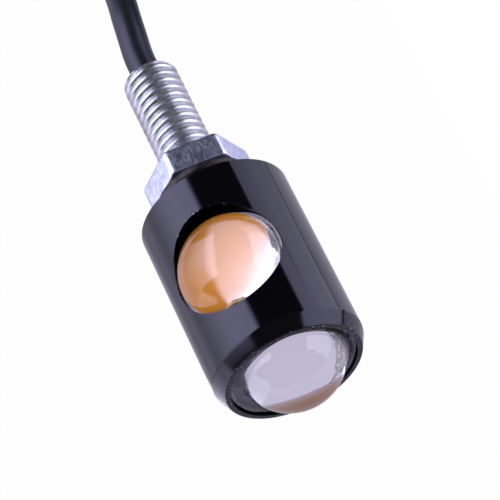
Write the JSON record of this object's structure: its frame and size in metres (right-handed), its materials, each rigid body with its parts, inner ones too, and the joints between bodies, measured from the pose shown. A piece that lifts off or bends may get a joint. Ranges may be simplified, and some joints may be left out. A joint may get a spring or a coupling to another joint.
{
  "type": "turn signal indicator",
  "caption": "Small bolt-type motorcycle turn signal: black turned housing with a clear dome lens in front and one in its side, on a hollow threaded stud with nut, washer and cable.",
  "frame": {"origin": "centre of the housing's flat rear face, on the stud's axis", "axes": "+Y along the stud, away from the housing; +Z out of the side lens; the front lens faces -Y"},
  "size_m": [0.046, 0.0913, 0.0178],
  "materials": {
    "black_anodised": "satin black anodised, bright at worn edges",
    "stud_steel": "bright rolled thread",
    "zinc": "bright zinc plate",
    "washer_dark": "dull dark steel",
    "clear_lens": "polished clear resin",
    "clear_glue": "uneven clear glue",
    "board": "white solder mask",
    "led_carrier": "white carrier",
    "phosphor": "amber resin disc",
    "chip_black": "moulded chip",
    "core_red": "red insulation",
    "core_black": "black insulation",
    "copper": "bare copper wire",
    "solder": "dull solder",
    "resin": "black potting resin",
    "jacket": "satin black jacket",
    "tie": "black nylon",
    "tinned": "tinned strands"
  },
  "bodies": {
    "lamp": {"housing": "black_anodised", "stud": "stud_steel", "front_lens": "clear_lens", "side_lens": "clear_lens", "front_lens_glue": "clear_glue", "side_lens_glue": "clear_glue", "front_board": "board", "side_board": "board", "front_led_base": "led_carrier", "side_led_base": "led_carrier", "front_phosphor": "phosphor", "side_phosphor": "phosphor", "front_resistor": "chip_black", "side_resistor": "chip_black", "polarity_diode": "chip_black", "lead_positive": "core_red", "lead_negative": "core_black", "jumper_positive": "copper", "jumper_negative": "copper", "front_solder": "solder", "side_solder": "solder", "potting": "resin", "cable_tail": "jacket", "cord": "jacket", "cord_coil": "jacket", "coil_tie": "tie", "core_positive": "core_red", "core_negative": "core_black", "core_tips": "tinned"},
    "washer": {"washer": "washer_dark"},
    "nut": {"nut": "zinc"}
  },
  "joints": [
    {"name": "washer_travel", "type": "slide", "parent": "lamp", "child": "washer", "axis": [0, 1, 0], "range_m": [-0.002, 0.0124]},
    {"name": "nut_turn", "type": "hinge", "parent": "washer", "child": "nut", "pos_m": [0, 0, 0], "axis": [0, 1, 0], "range_deg": [-725, 4470]}
  ],
  "couplings": [
    {"joint": "nut_turn", "follows": "washer_travel", "rad_per_m": 6283.2}
  ]
}
